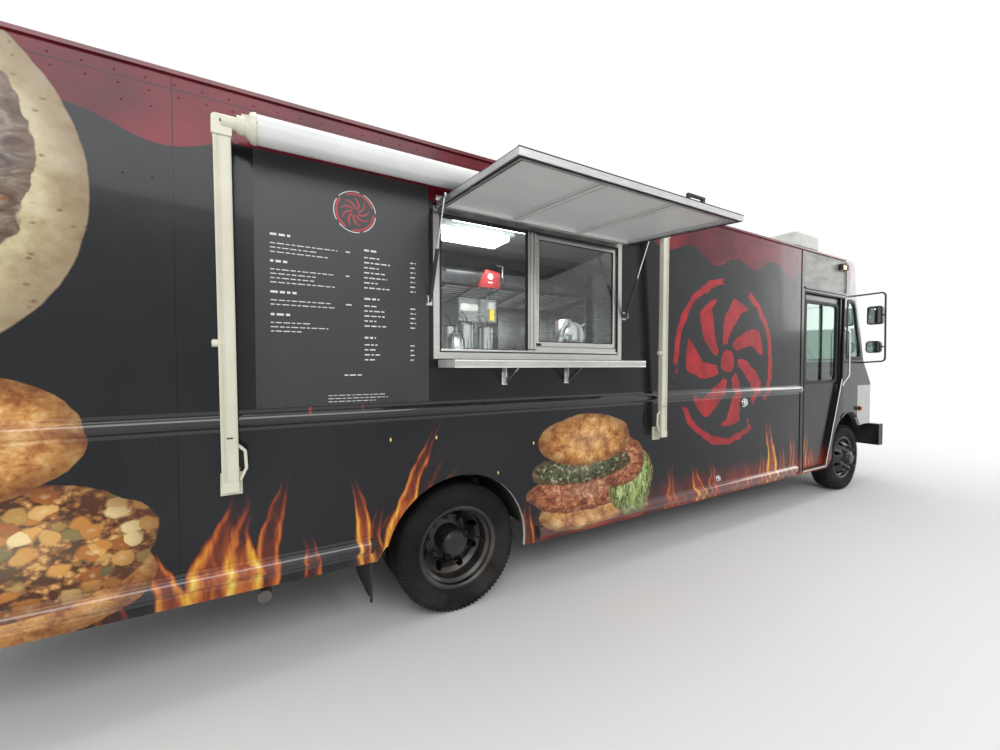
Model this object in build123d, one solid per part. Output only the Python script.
"""A walk-in step van fitted out as a food truck, with its serving hatch lifted.

Lengths are in millimetres. While a piece is built, X runs forward from the rear axle, Y is 0 on the
vehicle's middle plane with the kerb side at -Y, and Z rises from the ground. ORIGIN then moves every
piece so that the row's origin lies on the ground under the middle of the whole vehicle.
"""

import os
from math import cos, radians, sin, tan

from build123d import *

os.makedirs("parts", exist_ok=True)

# Driving dimensions of the body.
HALF = 1180
WALL = 30
BODY_REAR = -2550
SKIRT_REAR_Z = 477
SKIRT_FRONT_Z = 353
EAVES_Z = 2830
ROOF_EDGE = 30
ROOF_RISE = 45
FLOOR_Z = (730, 790)

# Driving dimensions of the chassis. FRONT is the front axle's station, which the whole cab keeps to.
WHEELBASE = 5283
FRONT = WHEELBASE
TYRE_R = 405.5
FRONT_WHEEL_Y = HALF - 145
REAR_WHEEL_Y = (HALF - 447, HALF - 180)
KINGPIN_Y = FRONT_WHEEL_Y - 155
KINGPIN_R = 22
TIE_ROD_X = FRONT - 180
STUD_R = 10
SPINDLE_R = 40
RUNNING = 0.1
RAIL_Y = 430
RAIL_Z = (520, 725)
GEARBOX_X = FRONT - 1133
REAR_ARCH = (-20, 419, 472)
FRONT_ARCH = (FRONT + 47, 500, 480)

# Driving dimensions of the cab, as stations of its side view.
BODY_FRONT = FRONT - 1253
CAB_FLOOR_X = FRONT - 1123
WELL_Y = HALF - 560
TAPER_X = FRONT - 153
TAPER_DEG = 3
ROOF_FRONT_X = FRONT + 137
SCREEN_TOP = (FRONT + 207, 2465)
SCREEN_FOOT = (FRONT + 507, 1620)
NOSE_X = FRONT + 777
NOSE_TOP_Z = 1330
NOSE_LOW_Z = 792
NOSE_SIDE = [(NOSE_X, NOSE_LOW_Z), (NOSE_X, NOSE_TOP_Z), SCREEN_FOOT, SCREEN_TOP, (ROOF_FRONT_X, EAVES_Z)]
QUARTER_LIGHT = [(FRONT - 68, 1650), (FRONT + 417, 1650), (FRONT + 157, 2370), (FRONT - 68, 2370)]
GRILLE = (430, 870, 1180)
BUMPER_X = (NOSE_X - 30, NOSE_X + 90)
MIRROR_X = FRONT + 417

# Serving window, hatch, gas struts and shelf.
WINDOW_X = (-201, 1331)
WINDOW_Z = (1605, 2500)
FRAME_W = 45
HINGE_Y = -HALF - 44
HINGE_Z = 2505
HATCH_L = 893
HATCH_T = 34
HATCH_OPEN = 85
STRUT_FOOT = (-HALF - 22, 1945)
STRUT_REACH = 200
STRUT_X = (WINDOW_X[0] - 26, WINDOW_X[1] + 26)
SHELF_Z = (1552, 1598)
SHELF_X = (-172, 1331)
SHELF_DEPTH = 242

# Cab doors, which slide back inside the walls. POCKET_X is where their pockets in the kitchen begin.
DOOR_GAP = 8
DOOR_T = 30
POCKET_X = FRONT - 1943
TRACK_SLOT = (-HALF + WALL + DOOR_GAP + 9, -HALF + WALL + DOOR_GAP + 21)
DOORWAY = [(FRONT - 1119, 385), (FRONT - 571, 385), (FRONT - 188, 1400), (FRONT - 163, 2380),
           (FRONT - 1119, 2380)]
DOOR_PANE = [(FRONT - 1021, 1375), (FRONT - 271, 1375), (FRONT - 253, 2290), (FRONT - 1021, 2290)]

# Gutter over a cab door, as its side view.
DRIP_RAIL = [(BODY_FRONT + 104, 2418), (TAPER_X - 2, 2418), (TAPER_X - 2, 2434), (BODY_FRONT + 104, 2434)]

# Grab bar ahead of a cab door: its station and the heights of its two ends.
GRAB_X = FRONT - 130
GRAB_Z = (1335, 2005)

# Fittings on the kerb side: (x, height, radius of the base, radius of the cap).
FILLER = (2991, 1203, 44, 34)
INLET = (2579, 518, 30, 22)

# Rear doors (half width, foot, head), their hinge line and the step behind them.
REAR_DOORWAY = (720, 800, 2560)
REAR_HINGE = (BODY_REAR - 27, -718)
REAR_HINGE_Z = (1000, 1680, 2360)
STEP_X = (BODY_REAR - 210, BODY_REAR)

# Rub rails: (rear end, front end, middle height, half height, depth).
RAIL_RUNS = [
    (BODY_REAR + 20, FRONT - 1225, 1302, 34, 26),
    (BODY_REAR + 20, -573, 573, 38, 30),
    (560, FRONT - 1259, 425, 38, 30),
]

# Wheels: sections as (distance outward from the wheel's middle, radius).
TYRE_PROFILE = [
    (-86, 262), (-106, 290), (-112.5, 330), (-110, 365), (-100, 392), (-84, 402), (0, TYRE_R),
    (84, 402), (100, 392), (110, 365), (112.5, 330), (106, 290), (86, 262), (86, 247), (72, 246),
    (72, 275), (92, 330), (84, 380), (-84, 380), (-92, 330), (-72, 275), (-72, 246), (-86, 247),
]
BARREL_PROFILE = [
    (-95, 262), (-86, 262), (-86, 247), (-72, 246), (-55, 244), (-40, 226), (40, 226), (55, 244),
    (72, 246), (86, 247), (86, 262), (95, 262), (95, 250), (88, 239), (60, 235), (44, 217),
    (-44, 217), (-60, 235), (-88, 239), (-95, 250),
]
DISC_PROFILE = [
    (34, 224), (44, 224), (70, 205), (132, 165), (136, 150), (136, 60), (125, 60), (125, 146), (62, 190),
]
HAND_HOLES = 8
STUDS = 8
STUD_RING = 137

# Pots on the cook line: (share of its length, distance behind its front edge, radius, height).
POTS = [(0.144, 250, 130, 260), (0.344, 250, 110, 200), (0.556, 300, 150, 180), (0.806, 280, 120, 240)]

# Stowed awning: its roll and its two folded arms as (foot x, head x).
AWNING_ROLL = (-HALF - 128, 2626)
AWNING_ROLL_X = (-1090, 1610)
AWNING_ARMS = [(-1210, -1222), (1733, 1677)]
ARM_FOOT_Z = 1000
ARM_LEVER_Z = 1130
ARM_KNOB_Z = 1664

# Kitchen exhaust on the roof, as its middle and the spun hood's (radius, height above the curb).
FAN_AT = (900, 560)
FAN_CURB_TOP = 2990
FAN_PROFILE = [(0, 0), (215, 0), (215, 22), (190, 30), (190, 92), (300, 104), (306, 116), (286, 140), (236, 158),
               (150, 165), (0, 165)]

# The row's origin, seen from the rear axle.
ORIGIN = (1695, -374)

MADE = {}


def box(x, y, z):
    """A block between two values along each axis."""
    return Pos(sum(x) / 2, sum(y) / 2, sum(z) / 2) * Box(x[1] - x[0], y[1] - y[0], z[1] - z[0])


def side_plate(points, y):
    """A plate cut from a side view, from y[0] to y[1]."""
    face = make_face(Polyline(*points, close=True))
    plane = Plane(origin=(0, y[1], 0), x_dir=(1, 0, 0), z_dir=(0, -1, 0))
    return extrude(plane * face, amount=y[1] - y[0])


def end_plate(face, x):
    """A plate cut from a front view face (y, z), from x[0] to x[1]."""
    plane = Plane(origin=(x[0], 0, 0), x_dir=(0, 1, 0), z_dir=(1, 0, 0))
    return extrude(plane * face, amount=x[1] - x[0])


def plan_plate(points, z):
    """A plate cut from a plan view, from z[0] to z[1]."""
    return extrude(Pos(0, 0, z[0]) * make_face(Polyline(*points, close=True)), amount=z[1] - z[0])


def bar(start, end, r):
    """A round bar between two points."""
    start, end = Vector(start), Vector(end)
    return extrude(Plane(origin=start, z_dir=end - start) * Circle(r), amount=(end - start).length)


def tube(points, r, corner):
    """A bent round tube along straight runs, its bends of one radius."""
    path = FilletPolyline(*points, radius=corner)
    return sweep(Plane(origin=path @ 0, z_dir=path % 0) * Circle(r), path=path)


def turned(profile, centre, outward=1):
    """A ring turned about the axle line: (distance outward, radius) points about a wheel's middle."""
    plane = Plane(origin=(0, 0, 0), x_dir=(0, outward, 0), z_dir=(1, 0, 0))
    if outward < 0:
        plane = Plane(origin=(0, 0, 0), x_dir=(0, -1, 0), z_dir=(-1, 0, 0))
    ring = revolve(plane * make_face(Polyline(*profile, close=True)), axis=Axis.Y)
    return Pos(*centre) * ring


def other_side(shape):
    return mirror(shape, about=Plane.XZ)


def save(name, shape):
    """Moves a piece to the row's origin and writes it."""
    shape = Pos(-ORIGIN[0], -ORIGIN[1], 0) * shape
    MADE[name] = shape.bounding_box()
    export_step(shape, f"parts/{name}.step")


# Shared outlines.

def roof_line(drop=0):
    """The roof's arc from eaves to eaves, drop below its outer skin."""
    z = EAVES_Z + ROOF_EDGE - drop
    return ThreePointArc((-HALF, z), (0, z + ROOF_RISE), (HALF, z))


def under_roof(z_low, drop=ROOF_EDGE):
    """A front view face from z_low up to the roof's arc, by default its inner skin."""
    z = EAVES_Z + ROOF_EDGE - drop
    return make_face(roof_line(drop) + Polyline((HALF, z), (HALF, z_low), (-HALF, z_low), (-HALF, z)))


def seated_on_roof(shape):
    """The part of a piece that stands above the roof's outer skin."""
    return shape - end_plate(under_roof(2500, 0), (BODY_REAR, ROOF_FRONT_X))


def taper_y(x, y=HALF):
    """Half width of the body at x: the cab narrows ahead of its doors."""
    return y - max(0, x - TAPER_X) * tan(radians(TAPER_DEG))


def plan_inside(inset, x=(TAPER_X - 1200, NOSE_X + 200)):
    """A prism as wide as the cab less an inset measured square to its sides, from plan view."""
    inset /= cos(radians(TAPER_DEG))
    points = [(x[0], HALF - inset), (TAPER_X, HALF - inset), (x[1], taper_y(x[1]) - inset)]
    points += [(px, -py) for px, py in reversed(points)]
    return plan_plate(points, (0, 3200))


def arch_cut(arch, y=(-HALF - 50, HALF + 50)):
    x, z, r = arch
    return Pos(x, sum(y) / 2, z) * Rot(90, 0, 0) * Cylinder(r, y[1] - y[0])


# Chassis.

def chassis_frame():
    """Two channel rails joined by cross members."""
    low, high = RAIL_Z
    web, flange = 8, 65
    inner = RAIL_Y - web
    profile = make_face(Polyline(
        (RAIL_Y, low), (RAIL_Y, high), (RAIL_Y - flange, high), (RAIL_Y - flange, high - web),
        (inner, high - web), (inner, low + web), (RAIL_Y - flange, low + web), (RAIL_Y - flange, low),
        close=True))
    rail = end_plate(profile, (-2500, FRONT + 707))
    frame = rail + other_side(rail)
    for x in (-2440, -1250, -420, 520, 1700, 2900, FRONT - 1183, FRONT + 617):
        frame += box((x - 35, x + 35), (-inner, inner), (low + 105, high - web))
    return frame


def leaf_spring(x, z, half_length):
    """A pack of leaves from its flat seat at the axle to the shackles at the rail."""
    pack = None
    for leaf, share in enumerate((1.0, 0.78, 0.55)):
        reach = half_length * share
        rise = 130 * share ** 2
        upper = z - leaf * 14
        tip = upper + rise
        solid = side_plate([(x - reach, tip), (x - 90, upper), (x + 90, upper), (x + reach, tip),
                            (x + reach, tip + 13), (x + 90, upper + 14), (x - 90, upper + 14),
                            (x - reach, tip + 13)], (RAIL_Y + 5, RAIL_Y + 75))
        pack = solid if pack is None else pack + solid
    return pack


def front_axle():
    """A dropped beam between the kingpins, on leaf springs."""
    half = KINGPIN_Y - 10
    outline = make_face(Polyline(
        (-half, 395), (-half + 70, 395), (-620, 300), (620, 300), (half - 70, 395), (half, 395),
        (half, 455), (half - 95, 455), (600, 375), (-600, 375), (-half + 95, 455), (-half, 455),
        close=True))
    beam = end_plate(outline, (WHEELBASE - 34, WHEELBASE + 34))
    for side in (-1, 1):
        beam += Pos(WHEELBASE, side * KINGPIN_Y, 425) * Cylinder(37, 60)
        beam -= Pos(WHEELBASE, side * KINGPIN_Y, 425) * Cylinder(KINGPIN_R + RUNNING, 80)
    spring = leaf_spring(WHEELBASE, 390, 620)
    seat = box((WHEELBASE - 80, WHEELBASE + 80), (-RAIL_Y - 80, -RAIL_Y), (365, 395))
    hangers = Part() + [
        box((x - 30, x + 30), (-RAIL_Y - 80, -RAIL_Y), (500, 640))
        for x in (WHEELBASE - 600, WHEELBASE + 600)
    ]
    sprung = other_side(spring) + seat + hangers
    return beam + sprung + other_side(sprung)


def rear_axle():
    """A driven axle turned with its drums and spindles, its springs, and the shaft to the gearbox."""
    z = TYRE_R
    inner = REAR_WHEEL_Y[0]
    half = [(inner + 187, 0), (inner + 187, SPINDLE_R), (inner + 102, SPINDLE_R), (inner + 102, 120),
            (inner + 19, 120), (inner + 19, 198), (inner - 93, 198), (inner - 93, 62), (200, 62),
            (130, 125), (45, 172)]
    housing = turned(half + [(-y, r) for y, r in reversed(half)], (0, 0, z))
    shaft = bar((100, 0, z + 4), (250, 0, z + 10), 85)
    shaft += bar((240, 0, z + 10), (GEARBOX_X - 12, 0, 560), 50)
    shaft += bar((GEARBOX_X - 24, 0, 560), (GEARBOX_X, 0, 560), 62)
    spring = leaf_spring(0, z + 65, 700)
    seat = box((-75, 75), (-RAIL_Y - 80, -RAIL_Y), (z + 30, z + 66))
    hangers = Part() + [box((x - 30, x + 30), (-RAIL_Y - 80, -RAIL_Y), (560, 690)) for x in (-690, 690)]
    sprung = other_side(spring) + seat + hangers
    return housing + shaft + sprung + other_side(sprung)


def engine():
    """Engine and gearbox as plain blocks on two mounts at the rails."""
    block = box((FRONT - 533, FRONT + 417), (-300, 300), (480, 1080))
    gearbox = box((GEARBOX_X, FRONT - 533), (-150, 150), (470, 720))
    mounts = box((FRONT - 183, FRONT - 103), (8 - RAIL_Y, RAIL_Y - 8), (560, 620))
    return block + gearbox + mounts


def fuel_tank():
    """A square tank with rounded long edges, slung outside the left rail."""
    tank = box((BODY_FRONT - 1830, BODY_FRONT - 680), (RAIL_Y + 25, HALF - 220), (410, 720))
    tank = fillet(tank.edges().filter_by(Axis.X), 60)
    straps = Part() + [
        box((x - 20, x + 20), (RAIL_Y, RAIL_Y + 60), (530, 700))
        for x in (BODY_FRONT - 1580, BODY_FRONT - 930)
    ]
    return tank + straps


def exhaust():
    """A silencer along the right rail with its tail pipe out behind the rear wheel."""
    y = -RAIL_Y - 180
    silencer = bar((1200, y, 520), (2100, y, 520), 110)
    inlet = bar((2100, y, 520), (FRONT - 633, y, 560), 32)
    over = tube([(1200, y, 520), (700, y, 520), (700, -RAIL_Y - 120, 660), (-900, -RAIL_Y - 120, 660),
                 (-1080, -RAIL_Y - 260, 420), (-1080, -HALF + 60, 400)], 32, 45)
    piece = silencer + inlet + over
    for x, reach, z in ((1350, 110, 545), (1950, 110, 545), (FRONT - 1083, 160, 555), (-850, 110, 655)):
        piece += box((x - 12, x + 12), (-RAIL_Y - reach, -RAIL_Y), (z, z + 30))
    return piece


# Wheels and steering.


def rim(centre, outward):
    """One disc wheel: barrel, coned disc with hand holes, and its bolting face."""
    wheel = turned(BARREL_PROFILE, (0, 0, 0), outward) + turned(DISC_PROFILE, (0, 0, 0), outward)
    for k in range(HAND_HOLES):
        angle = 360 / HAND_HOLES * (k + 0.5)
        hole = Rot(0, angle, 0) * Pos(0, 98 * outward, 186) * Rot(90, 0, 0) * Cylinder(24, 120)
        wheel -= hole
    return Pos(*centre) * wheel


def hub(centre, outward, inner, reach, r):
    """Hub on its spindle, with its stud nuts, standing out of the bolting face."""
    y0 = centre[1]
    bore = SPINDLE_R + RUNNING
    piece = turned([(inner, bore), (inner, r), (136 + reach - 14, r), (136 + reach, r - 14), (136 + reach, 0),
                    (136 + reach - 20, 0), (136 + reach - 20, bore)], centre, outward)
    for k in range(STUDS):
        a = radians(360 / STUDS * k)
        x, z = centre[0] + STUD_RING * cos(a), centre[2] + STUD_RING * sin(a)
        nut = extrude(Plane(origin=(x, y0 + outward * 136, z), z_dir=(0, outward, 0)) * RegularPolygon(19, 6),
                      amount=26)
        piece += nut
    return piece


def front_rim():
    centre = (WHEELBASE, -FRONT_WHEEL_Y, TYRE_R)
    return rim(centre, -1) + hub(centre, -1, 60, 52, 68)


def rear_rims():
    inner, outer = REAR_WHEEL_Y
    inner_c, outer_c = (0, -inner, TYRE_R), (0, -outer, TYRE_R)
    pair = rim(inner_c, -1) + rim(outer_c, 1)
    bore = SPINDLE_R + RUNNING
    hub_piece = turned([(125, bore), (125, 130), (150, 130), (160, 92), (300, 88), (318, 70), (318, 0),
                        (250, 0), (250, bore)], inner_c, -1)
    for k in range(STUDS):
        a = radians(360 / STUDS * k)
        x, z = STUD_RING * cos(a), TYRE_R + STUD_RING * sin(a)
        hub_piece += extrude(Plane(origin=(x, -inner - 125, z), z_dir=(0, -1, 0)) * RegularPolygon(19, 6),
                             amount=48)
    return pair + hub_piece


def knuckle():
    """Steering knuckle on its kingpin, with spindle, brake disc, steering arm and the arm's ball stud."""
    z = TYRE_R
    pin = Pos(WHEELBASE, -KINGPIN_Y, 425) * Cylinder(KINGPIN_R, 190)
    forks = box((WHEELBASE - 36, WHEELBASE + 36), (-KINGPIN_Y - 44, -KINGPIN_Y + 34), (466, 515))
    forks += box((WHEELBASE - 36, WHEELBASE + 36), (-KINGPIN_Y - 44, -KINGPIN_Y + 34), (330, 384))
    upright = box((WHEELBASE - 50, WHEELBASE + 50), (-KINGPIN_Y - 76, -KINGPIN_Y - 44), (330, 515))
    disc = bar((WHEELBASE, -FRONT_WHEEL_Y + 78, z), (WHEELBASE, -FRONT_WHEEL_Y + 50, z), 195)
    spindle = bar((WHEELBASE, -KINGPIN_Y - 70, z), (WHEELBASE, -FRONT_WHEEL_Y - 160, z), SPINDLE_R)
    arm = box((TIE_ROD_X - 20, FRONT - 30), (-KINGPIN_Y - 30, -KINGPIN_Y + 30), (345, 372))
    stud = Pos(TIE_ROD_X, -KINGPIN_Y, 325) * Cylinder(STUD_R, 60)
    return pin + forks + upright + disc + spindle + arm + stud


def tie_rod():
    """The bar that joins the two steering arms, turning on their ball studs."""
    rod = bar((TIE_ROD_X, -KINGPIN_Y + 20, 318), (TIE_ROD_X, KINGPIN_Y - 20, 318), 16)
    for side in (-1, 1):
        rod += Pos(TIE_ROD_X, side * KINGPIN_Y, 318) * Cylinder(27, 42)
        rod -= Pos(TIE_ROD_X, side * KINGPIN_Y, 318) * Cylinder(STUD_R + 3 * RUNNING, 60)
    return rod


def tyre(centre):
    return turned(TYRE_PROFILE, centre, -1)


# Body shell.

def side_outline():
    """Side view of one body side: the skirt is lower ahead of the rear wheels than behind them."""
    x, z, r = REAR_ARCH
    return [(BODY_REAR + WALL, SKIRT_REAR_Z), (-537, SKIRT_REAR_Z), (x - r + 5, z + 126), (x, z + 126),
            (x + r - 41, z - 35), (x + r - 16, SKIRT_FRONT_Z), (BODY_FRONT, SKIRT_FRONT_Z),
            (BODY_FRONT, EAVES_Z), (BODY_REAR + WALL, EAVES_Z)]


def side_wall(with_window):
    """One body side, its wheel arch cut out, and the serving window in the kerb side."""
    wall = side_plate(side_outline(), (-HALF, -HALF + WALL)) - arch_cut(REAR_ARCH)
    if with_window:
        wall -= box((WINDOW_X[0] + 8, WINDOW_X[1] - 8), (-HALF - 5, -HALF + WALL + 5),
                    (WINDOW_Z[0] + 8, WINDOW_Z[1] - 8))
        return wall
    return other_side(wall)


def rear_wall():
    """Rear wall around the double doorway, with the doors' hinge pins on its outer face."""
    half, low, high = REAR_DOORWAY
    wall = end_plate(under_roof(SKIRT_REAR_Z), (BODY_REAR, BODY_REAR + WALL))
    wall -= box((BODY_REAR - 5, BODY_REAR + WALL + 5), (-half, half), (low, high))
    x, y = REAR_HINGE
    pins = Part()
    for z in REAR_HINGE_Z:
        pins += Pos(x, y, z) * Cylinder(4, 130)
        for end in (-48, 48):
            pins += Pos(x, y, z + end) * Cylinder(8, 34)
            pins += box((x - 8, BODY_REAR), (-760, -722), (z + end - 17, z + end + 17))
    return wall + pins + other_side(pins)


def roof():
    """Crowned roof with a drip rail along each eaves, narrowed over the cab."""
    outer = roof_line() + Polyline((HALF, EAVES_Z + ROOF_EDGE), (HALF, EAVES_Z))
    skin = make_face(outer + roof_line(ROOF_EDGE) + Polyline((-HALF, EAVES_Z), (-HALF, EAVES_Z + ROOF_EDGE)))
    sheet = end_plate(skin, (BODY_REAR, ROOF_FRONT_X))
    sheet &= plan_plate([(BODY_REAR, HALF), (TAPER_X, HALF), (ROOF_FRONT_X, taper_y(ROOF_FRONT_X)),
                         (ROOF_FRONT_X, -taper_y(ROOF_FRONT_X)), (TAPER_X, -HALF), (BODY_REAR, -HALF)],
                        (2700, 3000))
    rail = side_plate([(BODY_REAR, EAVES_Z + 6), (TAPER_X, EAVES_Z + 6), (TAPER_X, EAVES_Z + 24),
                       (BODY_REAR, EAVES_Z + 24)], (-HALF - 14, -HALF))
    return sheet + rail + other_side(rail)


def floor():
    """Kitchen floor, cut away over the rear wheels and beside the cab doors' pockets."""
    edge = HALF - WALL
    door_edge = edge - 60
    outline = [(BODY_REAR + WALL, edge), (-500, edge), (-500, 560), (460, 560), (460, edge), (POCKET_X, edge),
               (POCKET_X, door_edge), (CAB_FLOOR_X, door_edge)]
    return plan_plate(outline + [(x, -y) for x, y in reversed(outline)], FLOOR_Z)


def cab_floor():
    """Cab floor between its wheel boxes, with the step wells and the hole over the engine."""
    low, high = FLOOR_Z
    outline = [(CAB_FLOOR_X, HALF - 420), (FRONT - 573, HALF - 420), (FRONT - 573, WELL_Y),
               (FRONT + 557, WELL_Y), (FRONT + 557, HALF - 480), (FRONT + 742, HALF - 480)]
    slab = plan_plate(outline + [(x, -y) for x, y in reversed(outline)], (low, high))
    slab -= box((FRONT - 543, FRONT + 437), (-320, 320), (low - 5, high + 5))
    return slab + steps() + other_side(steps())


def wheelhouse():
    """Boxes over the rear and front wheel of one side, open below and to the outside."""
    edge = HALF - WALL
    z = FLOOR_Z[1]
    rear = box((-510, 470), (-edge, -548), (z, 935)) - box((-498, 458), (-edge - 5, -560), (z - 5, 923))
    front = box((FRONT - 583, FRONT + 569), (80 - HALF, 10 - WELL_Y), (z, 1002))
    front -= box((FRONT - 571, FRONT + 557), (70 - HALF, -WELL_Y - 2), (z - 5, 990))
    return rear + (front & plan_inside(WALL))


def steps():
    """Entry step inside one cab door, hung from the floor."""
    top = FLOOR_Z[0]
    x = (CAB_FLOOR_X, FRONT - 573)
    y = (95 - HALF, 425 - HALF)
    tread = box(x, y, (405, 435))
    riser = box(x, (y[1] - 10, y[1]), (435, top + 5))
    ends = box((x[0] - 7, x[0]), y, (405, top)) + box((x[1], x[1] + 7), y, (405, top))
    return tread + riser + ends


# Cab shell.


def cab_side():
    """One side of the cab: door post, doorway, front arch and quarter light, bent in towards the nose."""
    outline = [(BODY_FRONT, SKIRT_FRONT_Z), (FRONT - 543, SKIRT_FRONT_Z), (FRONT_ARCH[0] - 450, 480),
               (FRONT_ARCH[0], 700), (FRONT + 417, 780), (FRONT + 487, NOSE_LOW_Z)]
    outline += NOSE_SIDE + [(BODY_FRONT, EAVES_Z)]
    plate = side_plate(outline, (-HALF, -HALF + WALL)) - arch_cut(FRONT_ARCH)
    plate -= side_plate(DOORWAY, (-HALF - 5, -HALF + WALL + 5))
    plate -= side_plate(QUARTER_LIGHT, (-HALF - 5, -HALF + WALL + 5))
    plate += box((BODY_FRONT + 46, BODY_FRONT + 100), (-HALF - 6, -HALF), (SKIRT_FRONT_Z + 12, EAVES_Z - 4))
    plate += side_plate(DRIP_RAIL, (-HALF - 16, -HALF))
    x, z, r = FRONT_ARCH
    lip = arch_cut((x, z, r + 24), (-HALF - 7, -HALF)) - arch_cut(FRONT_ARCH)
    plate += lip & side_plate([(x - 250, z + 120), (x + 250, z + 120), (x + 250, z + 700), (x - 250, z + 700)],
                              (-HALF - 7, -HALF))
    rear = plate & box((BODY_FRONT, TAPER_X), (-HALF - 20, -HALF + WALL + 5), (300, 2900))
    front = plate & box((TAPER_X, FRONT + 1017), (-HALF - 20, -HALF + WALL + 5), (300, 2900))
    hinge = Pos(TAPER_X, -HALF, 0)
    bent = hinge * Rot(0, 0, TAPER_DEG) * Pos(-TAPER_X, HALF, 0) * front
    return rear + bent


def cab_front():
    """Nose panel, scuttle below the windscreen, header above it, and the grille opening."""
    t = 28
    width = (-HALF, HALF)
    nose = side_plate([(NOSE_X - t, NOSE_LOW_Z), (NOSE_X, NOSE_LOW_Z), (NOSE_X, NOSE_TOP_Z), SCREEN_FOOT,
                       (SCREEN_FOOT[0] - t, SCREEN_FOOT[1] - 22), (NOSE_X - t, NOSE_TOP_Z - 16)], width)
    header = side_plate([SCREEN_TOP, (ROOF_FRONT_X, EAVES_Z), (ROOF_FRONT_X - t, EAVES_Z),
                         (SCREEN_TOP[0] - t, SCREEN_TOP[1])], width)
    crown = end_plate(under_roof(EAVES_Z - 40), (ROOF_FRONT_X - t, ROOF_FRONT_X))
    header += crown
    half, low, high = GRILLE
    nose -= box((NOSE_X - 60, NOSE_X + 20), (-half, half), (low, high))
    slats = Part()
    for k in range(7):
        z = low + (high - low) * (k + 0.5) / 7
        slats += side_plate([(NOSE_X - 26, z - 12), (NOSE_X - 6, z - 18), (NOSE_X - 4, z - 8),
                             (NOSE_X - 24, z + 6)], (-half - 4, half + 4))
    mullions = Part() + [
        box((NOSE_X - 27, NOSE_X - 2), (y - 8, y + 8), (low - 2, high + 2)) for y in (-145, 145)
    ]
    shell = (nose + header + slats + mullions) & plan_inside(WALL)
    return shell


def windscreen():
    """The two flat panes of the screen, seated in their opening."""
    (x1, z1), (x0, z0) = SCREEN_TOP, SCREEN_FOOT
    pane = side_plate([(x0 - 6, z0 + 4), (x1 - 6, z1 + 1), (x1 - 14, z1 + 1), (x0 - 14, z0 - 12),
                       (x0 - 6, z0 - 12)], (-HALF, HALF))
    return (pane & plan_inside(WALL)) - cab_front() - screen_pillar()


def screen_pillar():
    (x1, z1), (x0, z0) = SCREEN_TOP, SCREEN_FOOT
    return side_plate([(x0 - 1, z0 - 2), (x1 - 1, z1), (x1 - 26, z1), (x0 - 26, z0 - 2)], (-11, 11))


def quarter_pane():
    pane = side_plate(QUARTER_LIGHT, (-HALF + 12, -HALF + 18))
    hinge = Pos(TAPER_X, -HALF, 0)
    return hinge * Rot(0, 0, TAPER_DEG) * Pos(-TAPER_X, HALF, 0) * pane


# Doors.

def cab_door():
    """Sliding door: a panel that laps the doorway from inside, its window, hangers and inner grip."""
    y = (-HALF + WALL + DOOR_GAP, -HALF + WALL + DOOR_GAP + DOOR_T)
    panel = side_plate([(FRONT - 1143, 372), (FRONT - 555, 372), (FRONT - 165, 1396), (FRONT - 171, 2402),
                        (FRONT - 1143, 2402)], y)
    panel -= side_plate(DOOR_PANE, (y[0] - 5, y[1] + 5))
    for x in (FRONT - 1023, FRONT - 303):
        panel += box((x - 40, x + 40), (TRACK_SLOT[0] + RUNNING, TRACK_SLOT[1] - RUNNING), (2400, 2430))
    return panel


def door_pane():
    y = (-HALF + WALL + DOOR_GAP + 11, -HALF + WALL + DOOR_GAP + 17)
    return side_plate(DOOR_PANE, y)


def door_track():
    """Head rail with a slot that the hangers of one cab door run in."""
    rail = box((POCKET_X + 50, TAPER_X - 3), (-HALF + WALL, -HALF + WALL + 48), (2410, 2450))
    return rail - box((POCKET_X + 45, TAPER_X + 5), TRACK_SLOT, (2400, 2436))


def rear_door():
    """Right-hand leaf of the rear doors: a recessed field in a flat frame, on three hinge barrels."""
    half, low, high = REAR_DOORWAY
    face = BODY_REAR - 14
    leaf = box((face, BODY_REAR + 22), (-half + 6, -4), (low + 6, high - 6))
    leaf -= box((face - 1, face + 8), (-half + 86, -84), (low + 86, high - 86))
    x, y = REAR_HINGE
    for z in REAR_HINGE_Z:
        barrel = Pos(x, y, z) * Cylinder(8, 58) + box((x - 8, face + 1), (-half + 6, -680), (z - 29, z + 29))
        barrel += box((x - 8, x - 2), (y, -half + 8), (z - 29, z + 29))
        leaf += barrel - Pos(x, y, z) * Cylinder(4 + RUNNING, 70)
    leaf += box((face - 6, face), (-76, -16), (1180, 1300))
    leaf += fillet(box((face - 26, face - 5), (-66, -26), (1200, 1280)).edges().filter_by(Axis.X), 8)
    leaf += tube([(face + 9, -60, 1420), (face - 44, -60, 1420), (face - 44, -60, 1780), (face + 9, -60, 1780)],
                 9, 22)
    return leaf


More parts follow.
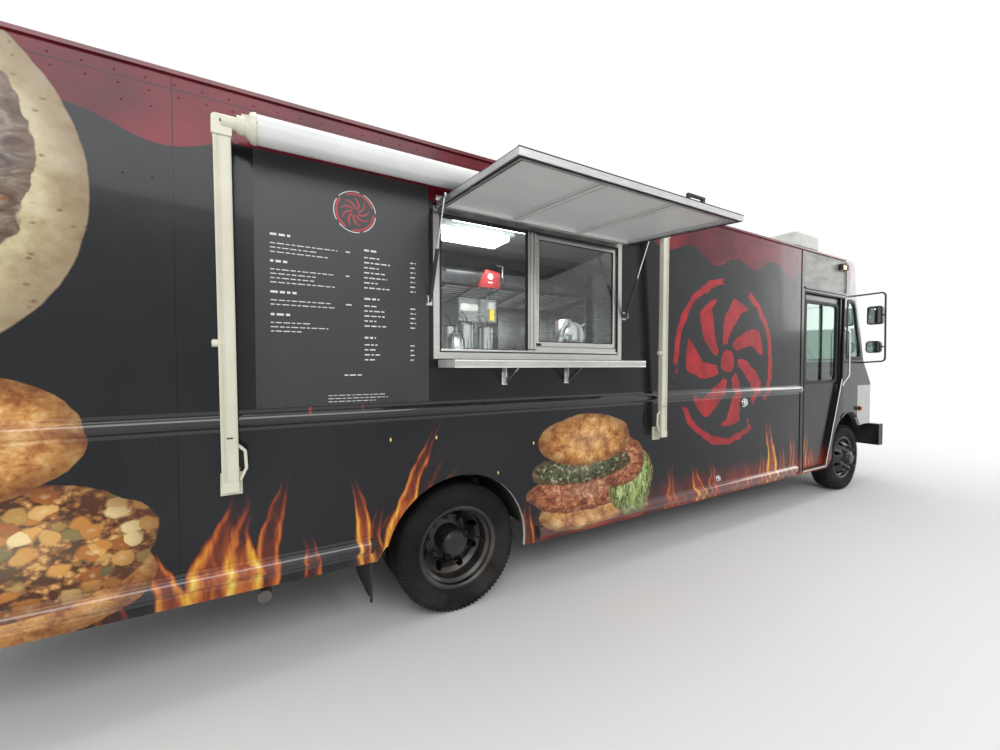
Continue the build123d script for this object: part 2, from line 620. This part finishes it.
def hatch():
    """Serving hatch: a battened sheet in a frame on hinge barrels, built shut and then lifted."""
    y = (HINGE_Y, HINGE_Y + HATCH_T)
    low, high = HINGE_Z - HATCH_L, HINGE_Z - 14
    leaf = box(WINDOW_X, y, (low, high))
    leaf -= box((WINDOW_X[0] + 42, WINDOW_X[1] - 42), (y[0] + 10, y[1] + 1), (low + 42, high - 42))
    for k in (1, 2):
        x = WINDOW_X[0] + (WINDOW_X[1] - WINDOW_X[0]) * k / 3
        leaf += box((x - 18, x + 18), (y[0] + 9, y[1] - 6), (low + 40, high - 40))
    for x in (870, 990):
        leaf += box((x - 10, x + 10), (y[0] - 30, y[0]), (low + 20, low + 36))
    leaf += box((860, 1000), (y[0] - 38, y[0] - 26), (low + 20, low + 36))
    for x in hinge_stations(0):
        barrel = bar((x - 60, HINGE_Y, HINGE_Z), (x + 60, HINGE_Y, HINGE_Z), 8)
        barrel += box((x - 60, x + 60), (y[0] - 3, y[0] + 3), (high - 4, HINGE_Z))
        leaf += barrel - bar((x - 62, HINGE_Y, HINGE_Z), (x + 62, HINGE_Y, HINGE_Z), 4 + RUNNING)
    return lift(leaf)


def hinge_stations(shift):
    """Middles of the hatch's hinge barrels, every 306 mm; the frame's stand beside them."""
    step = (WINDOW_X[1] - WINDOW_X[0]) / 5
    return [WINDOW_X[0] + step * (k + 0.5) + shift for k in range(5)]


def lift(shape):
    """Turns a piece about the hatch hinge from shut to open."""
    return Pos(0, HINGE_Y, HINGE_Z) * Rot(-HATCH_OPEN, 0, 0) * Pos(0, -HINGE_Y, -HINGE_Z) * shape


def strut_head():
    """Where the gas struts meet the lifted hatch, as (y, z)."""
    shut = Vector(0, HATCH_T / 2, -STRUT_REACH)
    a = radians(-HATCH_OPEN)
    return (HINGE_Y + shut.Y * cos(a) - shut.Z * sin(a), HINGE_Z + shut.Y * sin(a) + shut.Z * cos(a))


def strut_tube(x):
    """Cylinder of a gas strut with its lower eye and its gland, along the line to the hatch."""
    foot, head = Vector(x, *STRUT_FOOT), Vector(x, *strut_head())
    way = (head - foot).normalized()
    body = bar(foot + way * 14, foot + way * 290, 11) - bar(foot + way * 22, foot + way * 282, 9)
    body -= bar(foot + way * 270, foot + way * 300, 4 + RUNNING)
    neck = bar(foot + way * 8, foot + way * 18, 6)
    eye = bar(foot - Vector(5, 0, 0), foot + Vector(5, 0, 0), 13)
    return body + neck + eye - bar(foot - Vector(8, 0, 0), foot + Vector(8, 0, 0), 5 + RUNNING)


def strut_rod(x):
    """Rod of a gas strut with its upper eye, open for the stud on the hatch."""
    foot, head = Vector(x, *STRUT_FOOT), Vector(x, *strut_head())
    way = (head - foot).normalized()
    rod = bar(foot + way * 262, head - way * 8, 4)
    eye = bar(head - Vector(5, 0, 0), head + Vector(5, 0, 0), 12)
    return rod + eye - bar(head - Vector(8, 0, 0), head + Vector(8, 0, 0), 5)


# Fittings on the body.

def window_frame():
    """Serving window frame with its hinge rail, centre bar, slider rail and strut brackets."""
    x0, x1 = WINDOW_X
    z0, z1 = WINDOW_Z
    y = (-HALF - 3.5, -HALF + 40)
    ring = box((x0, x1), (y[0], -HALF), (z0, z1)) + box((x0 + 8, x1 - 8), (-HALF, y[1]), (z0 + 8, z1 - 8))
    ring -= box((x0 + FRAME_W, x1 - FRAME_W), (y[0] - 5, y[1] + 5), (z0 + FRAME_W, z1 - FRAME_W))
    ring += box((469, 535), (-HALF, y[1]), (z0 + FRAME_W - 2, z1 - FRAME_W + 2))
    ring += box((535, x1 - FRAME_W), (-HALF + 4, y[1]), (z0 + FRAME_W - 2, z0 + 85))
    ring += box((x0, x1), (HINGE_Y - 3, -HALF), (HINGE_Z + 12, HINGE_Z + 40))
    ring += bar((x0 + 10, HINGE_Y, HINGE_Z), (x1 - 10, HINGE_Y, HINGE_Z), 4)
    step = (x1 - x0) / 5
    for x in [x0 + 45] + [x + step / 2 for x in hinge_stations(0)[:-1]] + [x1 - 45]:
        ring += bar((x - 35, HINGE_Y, HINGE_Z), (x + 35, HINGE_Y, HINGE_Z), 8)
        ring += box((x - 35, x + 35), (HINGE_Y - 3, HINGE_Y + 3), (HINGE_Z, HINGE_Z + 14))
    for x, side in zip(STRUT_X, (-1, 1)):
        ring += box((x - 18, x + 18), (-HALF - 5, -HALF), (1915, 1975))
        ring += bar((x + side * 16, *STRUT_FOOT), (x - side * 5, *STRUT_FOOT), 5)
        ring += box((x + side * 16 - 3, x + side * 16 + 3), (STRUT_FOOT[0] - 8, -HALF), (1925, 1965))
    return ring


def window_panes():
    """Fixed rear pane and the slider beside it."""
    x0, x1 = WINDOW_X
    z0, z1 = WINDOW_Z
    y = (-HALF + 16, -HALF + 21)
    return box((x0 + FRAME_W, 469), y, (z0 + FRAME_W, z1 - FRAME_W)) + box(
        (535, x1 - FRAME_W), y, (z0 + 85, z1 - FRAME_W))


def serving_shelf():
    """Folded stainless shelf under the window on two braced brackets."""
    low, high = SHELF_Z
    y = (-HALF - SHELF_DEPTH, -HALF)
    shelf = box(SHELF_X, y, (low, high)) - box((SHELF_X[0] + 3, SHELF_X[1] - 3), (y[0] + 3, y[1] + 5),
                                               (low - 5, high - 3))
    gusset = make_face(Polyline((y[1], high - 3), (y[1], 1445), (y[1] - 24, 1445), (y[0] + 40, high - 22),
                                (y[0] + 40, high - 3), close=True))
    gusset -= make_face(Polyline((y[1] - 22, high - 26), (y[1] - 22, 1478), (y[0] + 84, high - 26), close=True))
    for x in (283, 795):
        shelf += end_plate(gusset, (x - 3, x + 3))
    return shelf


def rub_rails():
    """Half-round rub rails along both sides, each on a flat flange."""
    rails = Part()
    for x0, x1, z, half_height, depth in RAIL_RUNS:
        arc = ThreePointArc((-HALF - 3, z - half_height), (-HALF - depth, z), (-HALF - 3, z + half_height))
        line = Polyline((-HALF - 3, z + half_height), (-HALF, z + half_height), (-HALF, z - half_height),
                        (-HALF - 3, z - half_height))
        rails += end_plate(make_face(arc + line), (x0, x1))
        rails += box((x0, x1), (-HALF - 3.5, -HALF), (z - half_height - 16, z + half_height + 16))
    return rails + other_side(rails)


def awning_arm(x_foot, x_top):
    """A folded awning arm: two nested channels, head casting, lever, knob and foot bracket."""
    y, z = AWNING_ROLL
    foot, top = Vector(x_foot, -HALF - 66, ARM_FOOT_Z + 8), Vector(x_top, -HALF - 118, z - 30)
    lean = (top - foot).normalized()
    length = (top - foot).length
    inward = 1 if x_foot < 0 else -1
    outer = Rectangle(66, 34) - Pos(0, -4) * Rectangle(58, 34) - Pos(18 * inward, 16) * Rectangle(5, 4)
    arm = extrude(Plane(origin=foot, x_dir=(-1, 0, 0), z_dir=lean) * outer, amount=length)
    inner = Pos(0, -4) * (Rectangle(58, 26) - Rectangle(46, 18))
    arm += extrude(Plane(origin=foot + lean * 30, x_dir=(-1, 0, 0), z_dir=lean) * inner, amount=length - 60)
    head = box((x_top - 38, x_top + 38), (top.Y - 24, top.Y + 22), (z - 60, z + 26))
    arm += fillet(head.edges().filter_by(Axis.Y).sort_by(Axis.Z)[-2:], 18)
    arm += box((x_top - 26, x_top + 26), (top.Y + 20, -HALF), (z - 30, z + 14))
    arm += bar((x_top, y + 2, z), (x_top + inward * 130, y, z), 30)
    foot_y = foot.Y
    arm += box((x_foot - 34, x_foot + 34), (foot_y - 20, -HALF), (ARM_FOOT_Z - 14, ARM_FOOT_Z + 34))
    arm += box((x_foot - 44, x_foot + 44), (-HALF - 7, -HALF), (ARM_FOOT_Z - 44, ARM_FOOT_Z + 62))
    for bolt_x, bolt_z in ((-28, -30), (28, -30), (-28, 48), (28, 48)):
        arm += bar((x_foot + bolt_x, -HALF - 13, ARM_FOOT_Z + bolt_z), (x_foot + bolt_x, -HALF, ARM_FOOT_Z + bolt_z), 7)

    def along(height):
        return foot + lean * ((height - foot.Z) / lean.Z)

    knob = along(ARM_KNOB_Z)
    arm += bar((knob.X, knob.Y, knob.Z), (knob.X - 54, knob.Y, knob.Z), 17)
    pivot = along(ARM_LEVER_Z)
    x = pivot.X + inward * 33
    lever = tube([(x - inward * 4, pivot.Y, pivot.Z + 70), (x + inward * 26, pivot.Y, pivot.Z + 40),
                  (x + inward * 30, pivot.Y, pivot.Z - 40), (x + inward * 6, pivot.Y, pivot.Z - 92)], 7, 12)
    return arm + lever


def awning():
    """Stowed roll-out awning: cased roll above the hatch, its wall rail and its two folded arms."""
    y, z = AWNING_ROLL
    x0, x1 = AWNING_ROLL_X
    roll = bar((x0, y, z), (x1, y, z), 62)
    roll -= box((x0 - 5, x1 + 5), (y - 70, y - 58), (z - 5, z + 5))
    piece = roll + bar((x0 - 75, y, z), (x1 + 40, y, z), 40)
    for x, end in ((x0, x0 - 14), (x1, x1 + 14)):
        piece += bar((x, y, z), (end, y, z), 68)
    piece += box((x0 - 60, x1 + 30), (-HALF - 22, -HALF), (z + 74, z + 109))
    for x_foot, x_top in AWNING_ARMS:
        piece += awning_arm(x_foot, x_top)
    return piece


def roof_box():
    """Low unit on feet over the cab's rear corner."""
    unit = box((FRONT - 1228, FRONT - 683), (-HALF + 60, -HALF + 660), (2905, 3045))
    unit = chamfer(unit.edges().filter_by(Axis.Z), 25)
    for x in (FRONT - 1173, FRONT - 738):
        for y in (-HALF + 110, -HALF + 600):
            unit += box((x - 25, x + 25), (y - 25, y + 25), (EAVES_Z + ROOF_EDGE, 2906))
    return seated_on_roof(unit)


def roof_fan():
    """Kitchen exhaust: a square curb with a folded lip under a hood spun from sheet."""
    x, y = FAN_AT
    curb = box((x - 250, x + 250), (y - 250, y + 250), (EAVES_Z + ROOF_EDGE, FAN_CURB_TOP))
    lip = box((x - 262, x + 262), (y - 262, y + 262), (FAN_CURB_TOP - 28, FAN_CURB_TOP))
    spun = revolve(Plane.XZ * make_face(Polyline(*FAN_PROFILE, close=True)), axis=Axis.Z)
    return seated_on_roof(curb) + lip + Pos(x, y, FAN_CURB_TOP) * spun


def front_bumper():
    """Front bumper: a channel pressed from plate, wider than the body, on two stays."""
    x0, x1 = BUMPER_X
    half = HALF + 62
    outline = make_face(Polyline((x0, 505), (x1, 505), (x1, 785), (x0, 785), (x0, 777), (x1 - 8, 777),
                                 (x1 - 8, 513), (x0, 513), close=True))
    plane = Plane(origin=(0, half, 0), x_dir=(1, 0, 0), z_dir=(0, -1, 0))
    front = extrude(plane * outline, amount=2 * half)
    ends = box((x0, x1), (-half, -half + 8), (505, 785))
    stays = box((FRONT + 707, x1 - 8), (-RAIL_Y, -RAIL_Y + 60), (560, 700))
    return front + ends + other_side(ends) + stays + other_side(stays)


def rear_step():
    """Step bumper behind the doors: a folded tread on two brackets from the rails."""
    x0, x1 = STEP_X
    half = HALF - 60
    tread = box((x0, x1), (-half, half), (470, 500)) + box((x0, x0 + 12), (-half, half), (400, 500))
    arms = box((x0 + 12, -2500), (-RAIL_Y, -RAIL_Y + 50), (400, 470))
    arms += box((-2512, -2500), (-RAIL_Y, -RAIL_Y + 50), (400, 640))
    return tread + arms + other_side(arms)


def mirror_loop():
    """One mirror frame of bent tube with a flat glass over a small round-cornered one."""
    out = -HALF - 205
    loop = tube([(FRONT + 157, -taper_y(FRONT + 157) + 12, 2440), (MIRROR_X, out, 2480),
                 (MIRROR_X + 20, out, 1620), (FRONT + 407, -taper_y(FRONT + 407) + 12, 1600)], 10, 40)
    large = box((MIRROR_X - 25, MIRROR_X + 30), (-HALF - 185, -HALF - 30), (2085, 2315))
    small = box((MIRROR_X - 25, MIRROR_X + 30), (-HALF - 172, -HALF - 22), (1725, 1875))
    heads = fillet(large.edges().filter_by(Axis.X), 30) + fillet(small.edges().filter_by(Axis.X), 40)
    ties = bar((MIRROR_X + 5, -HALF - 180, 2200), (MIRROR_X + 8, out, 2200), 8)
    ties += bar((MIRROR_X + 5, -HALF - 165, 1800), (MIRROR_X + 15, out, 1800), 8)
    return loop + heads + ties - cab_side()


def lamps():
    """Head lamps, turn lamps, side markers, roof markers and tail lamps of both sides."""
    lens = bar((NOSE_X, -740, 1020), (NOSE_X + 45, -740, 1020), 92)
    side = fillet(lens.edges().sort_by(Axis.X)[-1:], 22) + bar((NOSE_X, -740, 1020), (NOSE_X + 16, -740, 1020), 108)
    side += box((NOSE_X, NOSE_X + 28), (-1000, -880), (960, 1080))
    x, y = FRONT + 357, -taper_y(FRONT + 357)
    side += bar((x, y + 10, 1010), (x, y - 42, 1010), 24) - cab_side()
    side += box((FRONT - 333, FRONT - 213), (-HALF - 42, -HALF), (2712, 2768))
    side += box((BODY_REAR - 30, BODY_REAR), (-1100, -980), (900, 1100))
    side += box((BODY_REAR - 22, BODY_REAR), (-1120, -1040), (2700, 2740))
    side += box((BODY_REAR - 22, BODY_REAR), (-160, -80), (2700, 2740))
    made = side + other_side(side)
    markers = Part() + [
        box((ROOF_FRONT_X - 70, ROOF_FRONT_X - 10), (y - 45, y + 45), (EAVES_Z + ROOF_EDGE, 2940))
        for y in (-560, -280, 0, 280, 560)
    ]
    return made + seated_on_roof(markers)


# Cab and kitchen insides.

def grab_bar():
    """Bent grab bar ahead of one cab door, on round feet."""
    low, high = GRAB_Z
    y = -HALF - 46
    rail = tube([(GRAB_X, -HALF + 6, high), (GRAB_X, y, high - 14), (GRAB_X, y, low + 105),
                 (GRAB_X - 34, -HALF + 6, low)], 11, 30)
    rail += bar((GRAB_X, -HALF + 6, high), (GRAB_X, -HALF - 5, high), 22)
    rail += bar((GRAB_X - 34, -HALF + 6, low), (GRAB_X - 34, -HALF - 5, low), 22)
    return rail - cab_side()


def side_fittings():
    """Filler cap and power inlet on the kerb side, and the rounded end caps of every rub rail."""
    piece = Part()
    for x, z, base, cap in (FILLER, INLET):
        piece += bar((x, -HALF, z), (x, -HALF - 8, z), base)
        turn = bar((x, -HALF - 8, z), (x, -HALF - 26, z), cap)
        piece += fillet(turn.edges().sort_by(Axis.Y)[:1], 6)
        piece += box((x - 5, x + 5), (-HALF - 32, -HALF - 24), (z - cap * 0.7, z + cap * 0.7))
    ends = Part()
    for x0, x1, z, half_height, depth in RAIL_RUNS:
        section = make_face(ThreePointArc((-HALF - 3, z - half_height), (-HALF - depth - 3, z),
                                          (-HALF - 3, z + half_height))
                            + Polyline((-HALF - 3, z + half_height), (-HALF, z + half_height),
                                       (-HALF, z - half_height), (-HALF - 3, z - half_height)))
        for span in ((x0 - 14, x0), (x1, x1 + 14)):
            ends += end_plate(section, span)
    return piece + ends + other_side(ends)


def dashboard():
    """Dash across the cab, the engine cover behind it, steering column and wheel."""
    x0, x1 = FRONT + 277, FRONT + 417
    dash = side_plate([(x0, 1150), (x1, 1150), (x1, 1540), (x0, 1480)], (-HALF, HALF)) & plan_inside(WALL)
    cover = side_plate([(FRONT - 463, FLOOR_Z[1]), (x1, FLOOR_Z[1]), (x1, 1150), (FRONT - 383, 1110)],
                       (-360, 360))
    cover -= box((FRONT - 583, FRONT + 437), (-320, 320), (700, 1085))
    foot, top = Vector(x0 + 20, HALF - 620, 1330), Vector(FRONT + 47, HALF - 620, 1480)
    column = bar(foot, top, 30)
    ring = Plane(origin=top, z_dir=top - foot) * Torus(205, 15)
    spokes = bar((top.X, top.Y - 195, top.Z), (top.X, top.Y + 195, top.Z), 11)
    return dash + cover + column + ring + spokes


def driver_seat():
    """Driver's seat behind the wheel box: cushion, back and head rest on a pedestal."""
    y = HALF - 610
    cushion = fillet(box((FRONT - 1093, FRONT - 613), (y - 240, y + 240), (1130, 1250)).edges(), 35)
    back = side_plate([(FRONT - 1053, 1200), (FRONT - 953, 1200), (FRONT - 1073, 1900),
                       (FRONT - 1163, 1900)], (y - 220, y + 220))
    back = fillet(back.edges().filter_by(Axis.Y), 30)
    return cushion + back + box((FRONT - 1013, FRONT - 693), (y - 140, y + 140), (FLOOR_Z[1], 1131))


def counter():
    """Serving counter under the window, open below between its end panels."""
    y = (-HALF + 45, -HALF + 540)
    z = FLOOR_Z[1]
    piece = box((-900, 1500), (y[0], y[1] + 20), (1540, 1580)) + box((500, 1500), y, (900, 930))
    for x, low in ((520, z), (1480, z), (-885, 935)):
        piece += box((x - 15, x + 15), y, (low, 1541))
    return piece + box((-900, -870), y, (z, 940))


def cook_line():
    """Cook line along the far wall: cabinets with a splash back, and pans and pots on top."""
    y = (HALF - WALL - 780, HALF - WALL)
    top = 1480
    x = (500, BODY_FRONT - 1730)
    line = box(x, y, (FLOOR_Z[1], top)) + box(x, (y[1] - 30, y[1]), (top, 1760))
    for share, inset, r, height in POTS:
        pot_x = x[0] + share * (x[1] - x[0])
        line += Pos(pot_x, y[0] + inset, top + height / 2) * Cylinder(r, height)
    for k in range(4):
        left = x[0] + (x[1] - x[0]) * (k + 0.04) / 4
        right = x[0] + (x[1] - x[0]) * (k + 0.96) / 4
        line += box((left, right), (y[0] - 6, y[0]), (FLOOR_Z[1] + 110, 1330))
        line += box((left + 60, right - 60), (y[0] - 34, y[0] - 24), (1270, 1288))
        for x_end in (left + 70, right - 70):
            line += box((x_end - 8, x_end + 8), (y[0] - 26, y[0]), (1270, 1288))
    return line


def range_hood():
    """Canopy over the cook line, with filters facing down and back."""
    y1 = HALF - WALL
    outline = make_face(Polyline((y1, 2300), (y1, 2800), (y1 - 420, 2800), (y1 - 860, 2480), (y1 - 860, 2380),
                                 (y1 - 800, 2380), (y1 - 60, 2300), close=True))
    return end_plate(outline, (420, BODY_FRONT - 1650))


def fridge():
    """Tall cabinet refrigerator with its door split in two."""
    y = (HALF - WALL - 760, HALF - WALL)
    cabinet = box((BODY_FRONT - 1550, BODY_FRONT - 780), y, (FLOOR_Z[1], 2700))
    return cabinet - box((BODY_FRONT - 1560, BODY_FRONT - 770), (y[0] - 1, y[0] + 6), (1738, 1746))


def mud_flaps():
    """Rubber flaps hung behind the rear wheels."""
    flap = box((-560, -548), (-HALF + 60, -600), (220, FLOOR_Z[0]))
    return flap + other_side(flap)


# Write every piece.

save("chassis_frame", chassis_frame())
save("front_axle", front_axle())
save("rear_axle", rear_axle())
save("engine", engine())
save("fuel_tank", fuel_tank())
save("exhaust", exhaust())
save("mud_flaps", mud_flaps())
save("floor", floor())
save("cab_floor", cab_floor())
save("wheelhouses", wheelhouse() + other_side(wheelhouse()))
save("side_wall_right", side_wall(True))
save("side_wall_left", side_wall(False))
save("rear_wall", rear_wall())
save("roof", roof())
save("cab_side_right", cab_side())
save("cab_side_left", other_side(cab_side()))
save("cab_front", cab_front() + screen_pillar())
glass = quarter_pane()
save("cab_glass", windscreen() + glass + other_side(glass))
save("front_bumper", front_bumper())
save("rear_step", rear_step())
save("rub_rails", rub_rails())
save("window_frame", window_frame())
save("window_panes", window_panes())
save("serving_shelf", serving_shelf())
save("awning", awning())
save("roof_box", roof_box())
save("roof_fan", roof_fan())
save("mirrors", mirror_loop() + other_side(mirror_loop()))
save("lamps", lamps())
save("grab_bars", grab_bar() + other_side(grab_bar()))
save("side_fittings", side_fittings())
save("dashboard", dashboard())
save("driver_seat", driver_seat())
save("door_tracks", door_track() + other_side(door_track()))
save("counter", counter())
save("cook_line", cook_line())
save("range_hood", range_hood())
save("fridge", fridge())

save("cab_door_right", cab_door())
save("door_glass_right", door_pane())
save("cab_door_left", other_side(cab_door()))
save("door_glass_left", other_side(door_pane()))
save("rear_door_right", rear_door())
save("rear_door_left", other_side(rear_door()))
save("hatch", hatch())
for end, x in zip(("rear", "front"), STRUT_X):
    save(f"strut_tube_{end}", strut_tube(x))
    save(f"strut_rod_{end}", strut_rod(x))

front_tyre = tyre((WHEELBASE, -FRONT_WHEEL_Y, TYRE_R))
rear_tyres = tyre((0, -REAR_WHEEL_Y[0], TYRE_R)) + tyre((0, -REAR_WHEEL_Y[1], TYRE_R))
for side, placed in (("right", lambda shape: shape), ("left", other_side)):
    save(f"knuckle_{side}", placed(knuckle()))
    save(f"front_rim_{side}", placed(front_rim()))
    save(f"front_tyre_{side}", placed(front_tyre))
    save(f"rear_rims_{side}", placed(rear_rims()))
    save(f"rear_tyres_{side}", placed(rear_tyres))
save("tie_rod", tie_rod())

low = [min(getattr(b.min, a) for b in MADE.values()) for a in "XYZ"]
high = [max(getattr(b.max, a) for b in MADE.values()) for a in "XYZ"]
print("whole vehicle", [round(v, 1) for v in low], [round(v, 1) for v in high])
